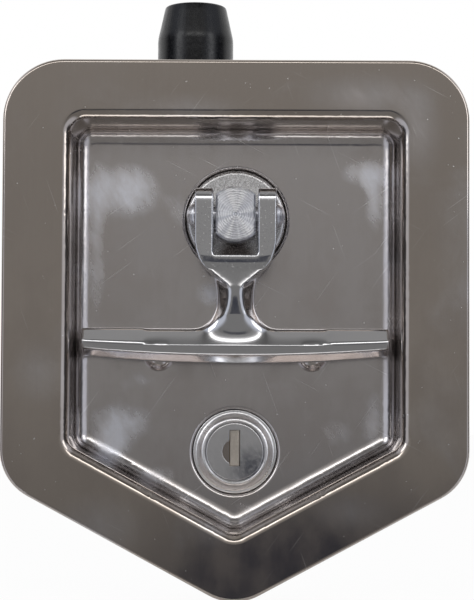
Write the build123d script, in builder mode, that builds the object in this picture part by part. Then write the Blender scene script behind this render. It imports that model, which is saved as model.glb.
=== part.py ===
from build123d import *
from math import asin, cos, degrees, radians, sin, tan
import os

os.makedirs("parts", exist_ok=True)

# Folding T-handle latch in a drawn stainless pan, with a key lock and a roller cam.
# Millimetres. +X right, +Z up, the front faces -Y. The origin lies on the back of the
# flange (y = 0), in the middle of the four welded studs.

# ---- Pan: one sheet, drawn into a five-sided tub with a flat flange round it
plate_width = 120.65
plate_height = 139.7
sheet = 1.6
slope = radians(28.3)          # rise of the V at the bottom, from the horizontal
plate_corner = 15.8            # the two top corners
plate_shoulder = 13.6          # the corners where the sides meet the V
plate_tip = 13.6
rim_round = 0.9
recess_depth = 18.5            # flange front to floor front
mouth_side = 17.5              # plate edge to tub wall at the flange: sides, top and V
mouth_top = 15.3
mouth_slant = 16.4
draft_side = 0.6               # how much further in each wall stands at the floor
draft_top = 1.1
draft_slant = 0.5
mouth_corner = 3.6
floor_corner = 4.5
mouth_roll = 2.7               # radius of the roll from flange to wall, front surface
floor_fillet = 4.0             # radius from wall to floor, front surface

# ---- Studs welded to the back of the flange
stud_edge = 7.625              # plate's side edge to the studs
stud_pitch_z = 70.0
stud_drop = 25.0               # plate's top edge to the upper pair
stud_radius = 2.4
stud_length = 16.0
stud_base_radius = 3.4
stud_base_depth = 0.5          # the weld base is let into the flange, flush with its back

# ---- Round wells pressed into the floor for the hub and the lock
hub_drop = 39.9                # plate's top edge to the hub axis
lock_drop = 61.8               # hub axis to the lock axis
well_gap = 0.3                 # side gap round the hub disc
well_roll = 1.0
well_corner = 0.4
well_land = 1.5                # flat floor that belongs to the pressed ring
hub_well_depth = 2.6
lock_well_depth = 2.2
lock_well_gap = 0.15

# ---- Two embossed domes that the handle rests on
dome_spacing = 40.8
dome_drop = 36.5               # hub axis to the dome centres
dome_radius = 4.0
dome_height = 3.0

# ---- Hub spindle
disc_radius = 13.2
disc_proud = 0.8               # disc face in front of the floor
disc_edge = 1.1
stem_radius = 7.2
stem_width = 10.3              # across the flats, between the fork's arms
stem_height = 16.8             # floor to stem face
stem_chamfer = 0.5
stem_dimple = 0.6
journal_radius = 9.5
journal_length = 5.35          # disc back to the shoulder that carries the stop washer
square = 9.5
thread_radius = 4.0
thread_past_nut = 1.4
running = 0.05                 # radial running clearance

# ---- Bearing bush, washers and disc spring behind and in front of the floor
pad_thickness = 0.8
pad_side_gap = 0.45
bush_flange_radius = 14.6
bush_flange = 1.6
bush_fit = 0.05
spring_thickness = 0.6
spring_radius = 13.6
stop_thickness = 1.5
stop_radius = 13.8
stop_ear = 18.0                # reach of the stop washer's ear
stop_ear_width = 6.0
stop_lug_width = 4.0
stop_angle = 90.0              # turn of the hub between the two lugs
stop_slack = 4.0
stop_lug_gap = 0.2
stop_lug_shift = 0.6
key_gap = 0.05                 # side gap of a square hole on the square shank

# ---- Folding handle
pin_height = 12.5              # floor to the hinge pin's axis
pin_radius = 2.4
pin_head_radius = 3.3
pin_head_height = 2.1
pin_side_gap = 0.15
fork_half = 5.8                # the pin's plane to the fork's front and back
eye_top = 6.9                  # pin axis to the top of the fork's arms
eye_round = 3.4
fork_width = 21.2
slot_width = 11.5
slot_bottom = 10.7             # pin axis to the bottom of the slot
fork_shoulder = 6.7            # pin axis to the centre of the fork's round lower end
fork_front_end = 13.2          # pin axis to where the front face starts to drop back
fork_tip = 19.0                # pin axis to the point of the fork's front face
fork_tip_half = 1.4
fork_tip_front = 1.9           # front of that point, ahead of the pin's plane
fork_tip_spread = 42.0         # where the point's sides leave the round end, in degrees
# Stations down the neck: distance below the pin axis, half width at the back, half width
# of the ridge in front, and the front and back planes, counted from the pin's plane.
neck_stations = (
    (14.0, 7.0, 2.8, -3.9, 6.1),
    (19.0, 5.3, 1.4, -1.7, 6.9),
    (22.0, 5.1, 1.6, -1.1, 7.4),
    (25.0, 5.7, 2.3, -0.7, 7.9),
    (28.0, 8.0, 3.9, -0.2, 8.4),
    (30.8, 13.0, 7.5, 1.1, 8.8),
)
bar_side_gap = 2.0             # ends of the grip to the floor's side walls
bar_top = 29.3                 # pin axis to the grip's upper edge
bar_middle_height = 9.3
bar_end_height = 7.3
bar_gap = 0.15                 # back of the grip to the domes

# ---- Roller cam behind the pan
cam_thickness = 4.0
cam_waist = 24.0
cam_shoulder = 19.0            # hub axis to where the arm stands straight up
cam_elbow = 8.0
cam_foot = 2.0
cam_relief = 2.0               # notch beside the bend of the locking lug
cam_bend = 2.0                 # inside radius of the bent tabs
roller_offset = 11.6           # hub axis to the roller axis, to the left
roller_radius = 10.45
roller_nose_radius = 8.4
roller_length = 29.4
roller_nose = 9.2
roller_rise = 21.2             # plate's top edge to the roller's top
axle_foot_gap = 0.1            # axle's foot to the bend of its tab
roller_edge = 0.8
axle_radius = 3.0
axle_head_radius = 5.2
axle_head = 2.2
axle_sink = 3.0
axle_foot_radius = 4.5
axle_foot = 1.6
axle_end_gap = 0.15
axle_head_gap = 0.4
roller_washer_thickness = 0.8
roller_washer_radius = 7.0
tab_width = 17.0
tab_margin = 8.0               # roller axis to the end of its tab
lug_side = 7.5                 # hub plane to the near side of the locking lug
lug_width = 9.0
lug_reach = 31.5               # hub axis to the end of the locking lug
lug_back = 39.4                # back end of the lug
washer_thickness = 1.6
washer_radius = 10.0
nut_flats = 13.0
nut_height = 6.5

# ---- Key lock
lock_head_radius = 11.1
lock_bezel_rise = 1.6          # crown of the bezel ring in front of the floor
lock_bezel_radius = 8.8        # the crown, between the plug's face and the groove
lock_groove_radius = 10.2
lock_groove = 2.0              # crown to the bottom of the groove round the bezel
lock_body_radius = 8.5
lock_hole_fit = 0.1
lock_back = 35.0               # back end of the lock body
gasket_thickness = 0.5
gasket_inset = 0.2
plug_face_radius = 7.75
plug_face_depth = 2.5
plug_face_sink = 0.6           # plug face behind the bezel's crown
plug_face_gap = 0.1
plug_radius = 6.2
tail_square = 6.0
tail_corner = 1.3              # corners of the tail's square, as a share of its half width
tail_short = 0.1
channel_reach = 7.5            # lock axis to the bottom of a wafer channel
channel_start = 1.2
channel_end = 4.0
lock_nut_flats = 21.0
lock_nut_height = 3.5
keyway_width = 2.8
keyway_height = 9.6
keyway_length = 16.0
keyway_rise = 1.0              # middle of the keyway above the lock axis
thumb_radius = 3.3             # half-moon hollow beside the keyway
thumb_depth = 0.8
wafer_count = 5
wafer_thickness = 1.0
wafer_pitch = 2.4
wafer_width = 5.4
wafer_height = 10.6
wafer_window_width = 2.2
wafer_window_height = 6.4
wafer_start = 4.6              # plug face to the first wafer's front
wafer_gap = 0.05
shutter_thickness = 0.5
shutter_gap = 0.12
shutter_sink = 0.35
shutter_barrel = 0.3
shutter_reach = 2.2
trunnion_radius = 0.2
trunnion_length = 0.6
lock_cam_thickness = 2.6
lock_cam_reach = 35.0
lock_cam_width = 12.0
lock_cam_tip_width = 10.0
lock_cam_boss = 7.5
cam_screw_radius = 2.0
cam_screw_depth = 6.0
cam_screw_end_gap = 0.4
cam_screw_head_radius = 3.8
cam_screw_head = 2.4
cam_screw_socket = 2.5         # across the flats of its hexagon socket
cam_screw_socket_depth = 1.3
cam_lock_washer = 0.8
cam_lock_washer_radius = 5.0

# ---- Places that follow from the sizes above
stud_pitch_x = plate_width - 2 * stud_edge
bar_length = plate_width - 2 * (mouth_side + draft_side + bar_side_gap)
plate_top = stud_drop + stud_pitch_z / 2
plate_bottom = plate_top - plate_height
slope_tip = plate_bottom - plate_tip * (1 / cos(slope) - 1)
floor_front = recess_depth - sheet
floor_back = floor_front + sheet
hub_z = plate_top - hub_drop
lock_z = hub_z - lock_drop
pin_y = floor_front - pin_height
bar_depth = pin_height - dome_height - bar_gap
hub_axis = Axis((0, 0, hub_z), (0, 1, 0))
lock_axis = Axis((0, 0, lock_z), (0, 1, 0))
pin_axis = Axis((0, pin_y, hub_z), (1, 0, 0))

hub_seat = floor_front + hub_well_depth
disc_front = floor_front - disc_proud
disc_back = hub_seat - pad_thickness - running
bush_hole = journal_radius + running + 2.1
bush_front = hub_seat
bush_seat = hub_seat + sheet
bush_back = bush_seat + bush_flange
journal_end = disc_back + journal_length
cam_front = journal_end + stop_thickness
cam_back = cam_front + cam_thickness
washer_back = cam_back + washer_thickness
nut_back = washer_back + nut_height

roller_y = cam_back + cam_bend + axle_foot_gap + axle_foot_radius
roller_top = plate_top + roller_rise
roller_bottom = roller_top - roller_length
tab_top = roller_bottom - roller_washer_thickness - running
tab_bottom = tab_top - cam_thickness
roller_axis = Axis((-roller_offset, roller_y, 0), (0, 0, 1))

lock_seat = floor_front + lock_well_depth
lock_head_back = lock_seat - gasket_thickness
lock_crown = floor_front - lock_bezel_rise
plug_front = lock_crown + plug_face_sink
plug_shoulder = plug_front + plug_face_depth
lock_cam_front = lock_back + running
lock_cam_back = lock_cam_front + lock_cam_thickness


def front(y):
    # A sketch plane at depth y that faces the front: its own y runs along the row's Z.
    return Plane.XZ.offset(-y)


def level(z):
    return Plane.XY.offset(z)


def pentagon(side, top, slant, corner, shoulder, tip):
    # The plate's outline set in by three margins, drawn as one closed line.
    half = plate_width / 2 - side
    upper = plate_top - top
    lowest = slope_tip + slant / cos(slope)
    turn = lowest + half * tan(slope)
    with BuildLine() as outline:
        FilletPolyline(
            (-half, upper), (half, upper), (half, turn), (0, lowest), (-half, turn),
            radius=[corner, corner, shoulder, tip, shoulder], close=True,
        )
    make_face(outline.edges())


def tub_section(depth_share, grow, corner):
    # The tub's wall line between the mouth (share 0) and the floor (share 1).
    pentagon(
        mouth_side + draft_side * depth_share - grow,
        mouth_top + draft_top * depth_share - grow,
        mouth_slant + draft_slant * depth_share - grow,
        corner + grow, corner + grow, corner + grow,
    )


def well_profile(radius, depth, hole):
    # Half section of a pressed well: radius across, depth along the local y.
    rim = radius + well_roll + well_land
    seat = floor_front + depth
    with BuildLine() as outline:
        FilletPolyline(
            (rim, floor_front), (radius, floor_front), (radius, seat), (hole, seat),
            (hole, seat + sheet), (radius + sheet, seat + sheet),
            (radius + sheet, floor_back), (rim, floor_back),
            radius=[0, well_roll, well_corner, 0, 0, well_corner + sheet, 0.3, 0],
            close=True,
        )
    make_face(outline.edges())


def dome_cap(x0, radius, height, side):
    # Half section of a domed head whose flat lies at x0; side is +1 or -1.
    cap = (radius**2 + height**2) / (2 * height)
    half_turn = asin(radius / cap) / 2
    middle = (x0 + side * (height - cap + cap * cos(half_turn)), cap * sin(half_turn))
    with BuildLine() as outline:
        Line((x0, 0), (x0, radius))
        ThreePointArc((x0, radius), middle, (x0 + side * height, 0))
        Line((x0 + side * height, 0), (x0, 0))
    make_face(outline.edges())


# ---- Pan
hub_well = disc_radius + well_gap
lock_well = lock_head_radius + lock_well_gap
stud_places = GridLocations(stud_pitch_x, stud_pitch_z, 2, 2)
dome_cap_radius = (dome_radius**2 + dome_height**2) / (2 * dome_height)
dome_centre = floor_front - dome_height + dome_cap_radius
dome_places = [(side * dome_spacing / 2, hub_z - dome_drop) for side in (-1, 1)]

with BuildPart() as pan:
    with BuildSketch(front(0)):
        pentagon(0, 0, 0, plate_corner, plate_shoulder, plate_tip)
    extrude(amount=sheet)
    with BuildSketch(front(0)):
        tub_section(0, sheet, mouth_corner)
    with BuildSketch(front(floor_back)):
        tub_section(1, sheet, floor_corner)
    loft()
    with BuildSketch(front(-sheet)):
        tub_section(0, 0, mouth_corner)
    with BuildSketch(front(floor_front)):
        tub_section(1, 0, floor_corner)
    loft(mode=Mode.SUBTRACT)

    # Flats in order from the front: flange front, flange back, floor front, floor back.
    flats = pan.faces().filter_by(Axis.Y).sort_by(Axis.Y)
    fillet(flats[3].edges(), radius=floor_fillet + sheet)
    flats = pan.faces().filter_by(Axis.Y).sort_by(Axis.Y)
    fillet(flats[2].edges(), radius=floor_fillet)
    flats = pan.faces().filter_by(Axis.Y).sort_by(Axis.Y)
    fillet(flats[1].inner_wires().edges(), radius=mouth_roll - sheet)
    flats = pan.faces().filter_by(Axis.Y).sort_by(Axis.Y)
    fillet(flats[0].inner_wires().edges(), radius=mouth_roll)
    flats = pan.faces().filter_by(Axis.Y).sort_by(Axis.Y)
    fillet(flats[0].outer_wire().edges(), radius=rim_round)

    # Wells for the hub and the lock, each a turned ring set into the floor.
    for axis_z, radius, depth, hole in (
        (hub_z, hub_well, hub_well_depth, bush_hole),
        (lock_z, lock_well, lock_well_depth, lock_body_radius + lock_hole_fit),
    ):
        with BuildSketch(front(floor_back)):
            with Locations((0, axis_z)):
                Circle(radius + well_roll + well_land)
        extrude(amount=sheet, mode=Mode.SUBTRACT)
        with BuildSketch(level(axis_z)):
            well_profile(radius, depth, hole)
        revolve(axis=Axis((0, 0, axis_z), (0, 1, 0)))

    # Domes raised from behind, so that their backs are hollow.
    with Locations([(x, dome_centre, z) for x, z in dome_places]):
        Sphere(dome_cap_radius)
    with BuildSketch(front(floor_back + dome_cap_radius)):
        with Locations(dome_places):
            Circle(dome_cap_radius + 1)
    extrude(amount=dome_cap_radius, mode=Mode.SUBTRACT)
    with Locations([(x, dome_centre, z) for x, z in dome_places]):
        Sphere(dome_cap_radius - sheet, mode=Mode.SUBTRACT)

    # Seats for the studs' weld bases.
    with BuildSketch(front(0)):
        with stud_places:
            Circle(stud_base_radius)
    extrude(amount=stud_base_depth, mode=Mode.SUBTRACT)
pan.part.label = "pan"

# ---- Studs
with BuildPart() as mounting_studs:
    with BuildSketch(front(0)):
        with stud_places:
            Circle(stud_base_radius)
    extrude(amount=stud_base_depth)
    with BuildSketch(front(stud_length)):
        with stud_places:
            Circle(stud_radius)
    extrude(amount=stud_length)
    chamfer(mounting_studs.faces().sort_by(Axis.Y)[-4:].edges(), length=0.5)
mounting_studs.part.label = "mounting_studs"

# ---- Hub spindle: disc, stem with flats, journal, square shank and threaded end
with BuildPart() as hub_spindle:
    with BuildSketch(level(hub_z)):
        with BuildLine():
            FilletPolyline(
                (0, disc_front), (disc_radius, disc_front), (disc_radius, disc_back),
                (journal_radius, disc_back), (journal_radius, journal_end),
                (0, journal_end),
                radius=[0, disc_edge, 0.3, 0, 0.3, 0], close=True,
            )
        make_face()
    revolve(axis=hub_axis)
    with BuildSketch(front(disc_front)):
        with Locations((0, hub_z)):
            Circle(stem_radius)
            Rectangle(stem_width, 2 * stem_radius, mode=Mode.INTERSECT)
    extrude(amount=stem_height - disc_proud)
    chamfer(hub_spindle.faces().sort_by(Axis.Y)[0].edges(), length=stem_chamfer)
    with BuildSketch(level(hub_z)):
        with BuildLine():
            Polyline(
                (0, floor_front - stem_height), (stem_dimple, floor_front - stem_height),
                (0, floor_front - stem_height + stem_dimple), close=True,
            )
        make_face()
    revolve(axis=hub_axis, mode=Mode.SUBTRACT)
    with BuildSketch(front(cam_back - 0.2)):
        with Locations((0, hub_z)):
            Rectangle(square, square)
    extrude(amount=cam_back - 0.2 - journal_end)
    with BuildSketch(front(nut_back + thread_past_nut)):
        with Locations((0, hub_z)):
            Circle(thread_radius)
    extrude(amount=nut_back + thread_past_nut - cam_back + 0.2)
    chamfer(hub_spindle.faces().sort_by(Axis.Y)[-1].edges(), length=0.6)
    with BuildSketch(Plane.YZ.offset(-stem_width)):
        with Locations((pin_y, hub_z)):
            Circle(pin_radius)
    extrude(amount=2 * stem_width, mode=Mode.SUBTRACT)
hub_spindle.part.label = "hub_spindle"

# ---- Hinge pin with a domed head each side of the fork
pin_half = fork_width / 2 + pin_side_gap
with BuildPart() as hinge_pin:
    with BuildSketch(Plane.YZ.offset(-pin_half)):
        with Locations((pin_y, hub_z)):
            Circle(pin_radius)
    extrude(amount=2 * pin_half)
    for side in (-1, 1):
        with BuildSketch(Plane((0, pin_y, hub_z))):
            dome_cap(side * pin_half, pin_head_radius, pin_head_height, side)
        revolve(axis=pin_axis)
hinge_pin.part.label = "hinge_pin"


# ---- Folding handle
def grip_section(height):
    # Section of the grip, seen along X: local x is the depth behind the pin's plane.
    upper = -bar_top
    back = bar_depth
    with BuildLine() as outline:
        FilletPolyline(
            (0, upper - 0.5 * height), (1.2, upper - 0.76 * height),
            (5.0, upper - height), (8.0, upper - height),
            (back, upper - 0.8 * height), (back, upper - 0.2 * height),
            (7.8, upper), (2.6, upper),
            radius=[0.6, 1.0, 1.6, 0.8, 0.6, 0.6, 0.8, 1.2], close=True,
        )
    make_face(outline.edges())


def neck_section(half, ridge, fore, aft):
    # Section of the neck seen from above: a broad back, hollow flanks and a narrow ridge in front.
    with BuildLine() as outline:
        FilletPolyline(
            (-ridge, pin_y + fore), (ridge, pin_y + fore),
            (half * 0.94, pin_y + fore + (aft - fore) * 0.42), (half, pin_y + aft),
            (-half, pin_y + aft), (-half * 0.94, pin_y + fore + (aft - fore) * 0.42),
            radius=[0.9, 0.9, 1.2, 0.9, 0.9, 1.2], close=True,
        )
    make_face(outline.edges())


leave_x = fork_width / 2 * sin(radians(fork_tip_spread))
leave_drop = fork_shoulder + fork_width / 2 * cos(radians(fork_tip_spread))

with BuildPart() as t_handle:
    # Fork: its round-ended front view, cut to the side view of its eyes and sloping foot.
    with BuildSketch(Plane((0, pin_y + fork_half, hub_z), x_dir=(1, 0, 0), z_dir=(0, -1, 0))):
        with Locations((0, (eye_top - fork_shoulder) / 2)):
            Rectangle(fork_width, eye_top + fork_shoulder)
        with Locations((0, -fork_shoulder)):
            Circle(fork_width / 2)
        with BuildLine():
            Polyline(
                (-leave_x, -leave_drop), (leave_x, -leave_drop), (fork_tip_half, -fork_tip),
                (-fork_tip_half, -fork_tip), close=True,
            )
        make_face()
    extrude(amount=2 * fork_half)
    with BuildSketch(Plane((0, pin_y, hub_z), x_dir=(0, 1, 0), z_dir=(1, 0, 0))):
        with BuildLine():
            FilletPolyline(
                (-fork_half, eye_top), (-fork_half, -fork_front_end), (-fork_tip_front, -fork_tip),
                (fork_half, -fork_tip), (fork_half, eye_top),
                radius=[eye_round, 5.0, 0.8, 1.5, eye_round], close=True,
            )
        make_face()
    extrude(amount=fork_width, both=True, mode=Mode.INTERSECT)
    # Neck, lofted down to the grip.
    for drop, half, ridge, fore, aft in neck_stations:
        with BuildSketch(level(hub_z - drop)):
            neck_section(half, ridge, fore, aft)
    loft()
    # Slot for the stem, and the pin's bore through both arms.
    with BuildSketch(Plane((0, pin_y + bar_depth, hub_z), x_dir=(1, 0, 0), z_dir=(0, -1, 0))):
        with Locations((0, (2 * eye_top - slot_bottom) / 2)):
            Rectangle(slot_width, 2 * eye_top + slot_bottom)
    extrude(amount=2 * bar_depth, mode=Mode.SUBTRACT)
    with BuildSketch(Plane.YZ.offset(-fork_width)):
        with Locations((pin_y, hub_z)):
            Circle(pin_radius + running)
    extrude(amount=2 * fork_width, mode=Mode.SUBTRACT)
    # Grip: lofted from end to end through a deeper middle.
    for x, height in (
        (-bar_length / 2, bar_end_height), (0, bar_middle_height), (bar_length / 2, bar_end_height),
    ):
        with BuildSketch(Plane((x, pin_y, hub_z), x_dir=(0, 1, 0), z_dir=(1, 0, 0))):
            grip_section(height)
    loft()
t_handle.part.label = "t_handle"


def washer(back_y, thickness, outer, hole, axis_z):
    # A flat ring round the hub axis or the lock axis.
    with BuildPart() as ring:
        with BuildSketch(front(back_y)):
            with Locations((0, axis_z)):
                Circle(outer)
                Circle(hole, mode=Mode.SUBTRACT)
        extrude(amount=thickness)
    return ring.part


# ---- Pad, bearing bush and disc spring round the spindle
with BuildPart() as hub_pad:
    add(washer(hub_seat, pad_thickness, hub_well - pad_side_gap, journal_radius + pad_side_gap, hub_z))
hub_pad.part.label = "hub_pad"

stop_middle = (stop_radius + stop_ear) / 2
lug_turn = degrees(asin((stop_ear_width + stop_lug_width) / 2 / stop_middle)) + stop_slack
with BuildPart() as hub_bush:
    with BuildSketch(front(bush_back)):
        with Locations((0, hub_z)):
            Circle(bush_flange_radius)
    extrude(amount=bush_flange)
    with BuildSketch(front(bush_seat)):
        with Locations((0, hub_z)):
            Circle(bush_hole - bush_fit)
    extrude(amount=sheet)
    # Two lugs stand up behind the flange and stop the washer's ear at each end of the turn.
    for turn in (-lug_turn, stop_angle + lug_turn):
        with BuildSketch(front(cam_front - stop_lug_gap)):
            with Locations((0, hub_z)):
                with PolarLocations(stop_middle + stop_lug_shift, 1, start_angle=turn):
                    Rectangle(stop_ear - stop_radius, stop_lug_width)
        extrude(amount=cam_front - stop_lug_gap - bush_seat)
    with BuildSketch(front(bush_back)):
        with Locations((0, hub_z)):
            Circle(journal_radius + running)
    extrude(amount=bush_back - bush_front, mode=Mode.SUBTRACT)
hub_bush.part.label = "hub_bush"

spring_front = bush_back + running
spring_inner = journal_radius + pad_side_gap
with BuildPart() as disc_spring:
    with BuildSketch(level(hub_z)):
        with BuildLine():
            Polyline(
                (spring_inner, journal_end - running),
                (spring_inner, journal_end - running - spring_thickness),
                (spring_radius, spring_front), (spring_radius, spring_front + spring_thickness),
                close=True,
            )
        make_face()
    revolve(axis=hub_axis)
disc_spring.part.label = "disc_spring"

with BuildPart() as stop_washer:
    with BuildSketch(front(cam_front)):
        with Locations((0, hub_z)):
            Circle(stop_radius)
        with Locations((stop_ear / 2, hub_z)):
            Rectangle(stop_ear, stop_ear_width)
        with Locations((0, hub_z)):
            Rectangle(square + 2 * key_gap, square + 2 * key_gap, mode=Mode.SUBTRACT)
    extrude(amount=stop_thickness)
stop_washer.part.label = "stop_washer"

# ---- Cam plate: a dog-legged arm, bent back at the top for the roller and at the foot for the lock
arm_half = tab_width / 2
lug_outer = -lug_side - cam_thickness
lug_top = -lug_reach + lug_width
relief_side = cam_bend + 0.5 - lug_side
tab_back = roller_y + tab_margin
with BuildPart() as cam_plate:
    with BuildSketch(front(cam_back)):
        with BuildLine():
            FilletPolyline(
                (-roller_offset - arm_half, tab_top), (-roller_offset + arm_half, tab_top),
                (-roller_offset + arm_half, hub_z + cam_shoulder), (cam_waist / 2, hub_z + cam_elbow),
                (cam_waist / 2, hub_z - cam_elbow), (cam_foot, hub_z - lug_reach),
                (lug_outer, hub_z - lug_reach), (lug_outer, hub_z + lug_top),
                (relief_side, hub_z + lug_top), (relief_side, hub_z + lug_top + cam_relief),
                (-cam_waist / 2, hub_z - cam_elbow), (-cam_waist / 2, hub_z + cam_elbow / 2),
                (-roller_offset - arm_half, hub_z + cam_shoulder),
                radius=[0, 0, 6, 6, 6, 3, 0, 0, 0, 0.6, 4, 6, 6], close=True,
            )
        make_face()
        with Locations((0, hub_z)):
            Rectangle(square + 2 * key_gap, square + 2 * key_gap, mode=Mode.SUBTRACT)
    extrude(amount=cam_thickness)
    with BuildSketch(level(tab_bottom)):
        with Locations((-roller_offset, (cam_front + tab_back) / 2)):
            Rectangle(tab_width, tab_back - cam_front)
    extrude(amount=cam_thickness)
    with BuildSketch(front(lug_back)):
        with Locations((lug_outer + cam_thickness / 2, hub_z + lug_top - lug_width / 2)):
            Rectangle(cam_thickness, lug_width)
    extrude(amount=lug_back - cam_front)
    bends = cam_plate.edges()
    tab_inside = bends.filter_by(Axis.X).filter_by_position(Axis.Z, tab_bottom - 0.01, tab_bottom + 0.01)
    fillet(tab_inside.sort_by(Axis.Y)[0], radius=cam_bend)
    bends = cam_plate.edges().filter_by(Axis.X)
    tab_outside = bends.filter_by_position(Axis.Z, tab_top - 0.01, tab_top + 0.01)
    fillet(tab_outside.sort_by(Axis.Y)[0], radius=cam_bend + cam_thickness)
    bends = cam_plate.edges().filter_by(Axis.Z)
    lug_inside = bends.filter_by_position(Axis.X, -lug_side - 0.01, -lug_side + 0.01)
    fillet(lug_inside.filter_by_position(Axis.Y, cam_back - 0.01, cam_back + 0.01), radius=cam_bend)
    bends = cam_plate.edges().filter_by(Axis.Z)
    lug_outside = bends.filter_by_position(Axis.X, lug_outer - 0.01, lug_outer + 0.01)
    fillet(lug_outside.sort_by(Axis.Y)[0], radius=cam_bend + cam_thickness)
    with BuildSketch(level(tab_bottom)):
        with Locations((-roller_offset, roller_y)):
            Circle(axle_radius)
    extrude(amount=cam_thickness, mode=Mode.SUBTRACT)
cam_plate.part.label = "cam_plate"

with BuildPart() as cam_washer:
    add(washer(washer_back, washer_thickness, washer_radius, thread_radius, hub_z))
cam_washer.part.label = "cam_washer"


def hexagon_nut(back_y, height, flats, hole, axis_z):
    # A hexagon nut whose corners are turned down on both faces.
    corner = flats / 3**0.5
    edge = corner - flats / 2
    with BuildPart() as nut:
        with BuildSketch(front(back_y)):
            with Locations((0, axis_z)):
                RegularPolygon(flats / 2, 6, major_radius=False)
        extrude(amount=height)
        with BuildSketch(level(axis_z)):
            with BuildLine() as outline:
                Polyline(
                    (hole, back_y), (corner - edge, back_y), (corner, back_y - edge / 2),
                    (corner, back_y - height + edge / 2), (corner - edge, back_y - height),
                    (hole, back_y - height), close=True,
                )
            make_face(outline.edges())
        revolve(axis=Axis((0, 0, axis_z), (0, 1, 0)), mode=Mode.INTERSECT)
    return nut.part


with BuildPart() as cam_nut:
    add(hexagon_nut(nut_back, nut_height, nut_flats, thread_radius, hub_z))
cam_nut.part.label = "cam_nut"

# ---- Roller on its axle
with BuildPart() as cam_roller:
    with BuildSketch(Plane((-roller_offset, roller_y, 0), x_dir=(1, 0, 0), z_dir=(0, -1, 0))):
        with BuildLine():
            FilletPolyline(
                (axle_radius + running, roller_bottom), (roller_radius, roller_bottom),
                (roller_radius, roller_top - roller_nose), (roller_nose_radius, roller_top),
                (axle_head_radius + axle_head_gap, roller_top),
                (axle_head_radius + axle_head_gap, roller_top - axle_sink),
                (axle_radius + running, roller_top - axle_sink),
                radius=[0, roller_edge, roller_nose, roller_edge, 0, 0, 0], close=True,
            )
        make_face()
    revolve(axis=roller_axis)
cam_roller.part.label = "cam_roller"

head_bottom = roller_top - axle_sink + axle_end_gap
with BuildPart() as roller_axle:
    with BuildSketch(Plane((-roller_offset, roller_y, 0), x_dir=(1, 0, 0), z_dir=(0, -1, 0))):
        with BuildLine():
            FilletPolyline(
                (0, tab_bottom - axle_foot), (axle_foot_radius, tab_bottom - axle_foot),
                (axle_foot_radius, tab_bottom), (axle_radius, tab_bottom),
                (axle_radius, head_bottom), (axle_head_radius, head_bottom),
                (axle_head_radius, head_bottom + axle_head), (0, head_bottom + axle_head),
                radius=[0, axle_foot * 0.8, 0, 0, 0, 0, axle_head * 0.6, 0], close=True,
            )
        make_face()
    revolve(axis=roller_axis)
roller_axle.part.label = "roller_axle"

with BuildPart() as roller_washer:
    with BuildSketch(level(tab_top)):
        with Locations((-roller_offset, roller_y)):
            Circle(roller_washer_radius)
            Circle(axle_radius + running, mode=Mode.SUBTRACT)
    extrude(amount=roller_washer_thickness)
roller_washer.part.label = "roller_washer"

# ---- Key lock
plug_bore = plug_radius + running
face_bore = plug_face_radius + plug_face_gap
with BuildPart() as lock_body:
    with BuildSketch(level(lock_z)):
        with BuildLine():
            FilletPolyline(
                (face_bore, lock_crown + 0.5), (face_bore + 0.3, lock_crown), (lock_bezel_radius, lock_crown),
                (lock_groove_radius, lock_crown + lock_groove),
                (lock_head_radius, lock_crown + lock_groove - 0.2),
                (lock_head_radius, lock_head_back), (lock_body_radius, lock_head_back),
                (lock_body_radius, lock_back), (plug_bore, lock_back),
                (plug_bore, plug_shoulder + running), (face_bore, plug_shoulder + running),
                radius=[0.1, 0.2, 1.0, 0.9, 0.25, 0, 0, 0.4, 0, 0, 0], close=True,
            )
        make_face()
    revolve(axis=lock_axis)
    # Channels above and below the plug, which the wafers drop into when the key is out.
    with BuildSketch(front(lock_back - channel_end)):
        with Locations((0, lock_z)):
            Rectangle(wafer_width + 4 * wafer_gap, 2 * channel_reach)
            Circle(plug_radius, mode=Mode.SUBTRACT)
    extrude(amount=lock_back - channel_end - plug_shoulder - channel_start, mode=Mode.SUBTRACT)
lock_body.part.label = "lock_body"

with BuildPart() as lock_gasket:
    add(washer(lock_seat, gasket_thickness, lock_head_radius - gasket_inset, lock_body_radius, lock_z))
lock_gasket.part.label = "lock_gasket"

lock_nut_back = lock_seat + sheet + lock_nut_height
with BuildPart() as lock_nut:
    add(hexagon_nut(lock_nut_back, lock_nut_height, lock_nut_flats, lock_body_radius, lock_z))
lock_nut.part.label = "lock_nut"

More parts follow.
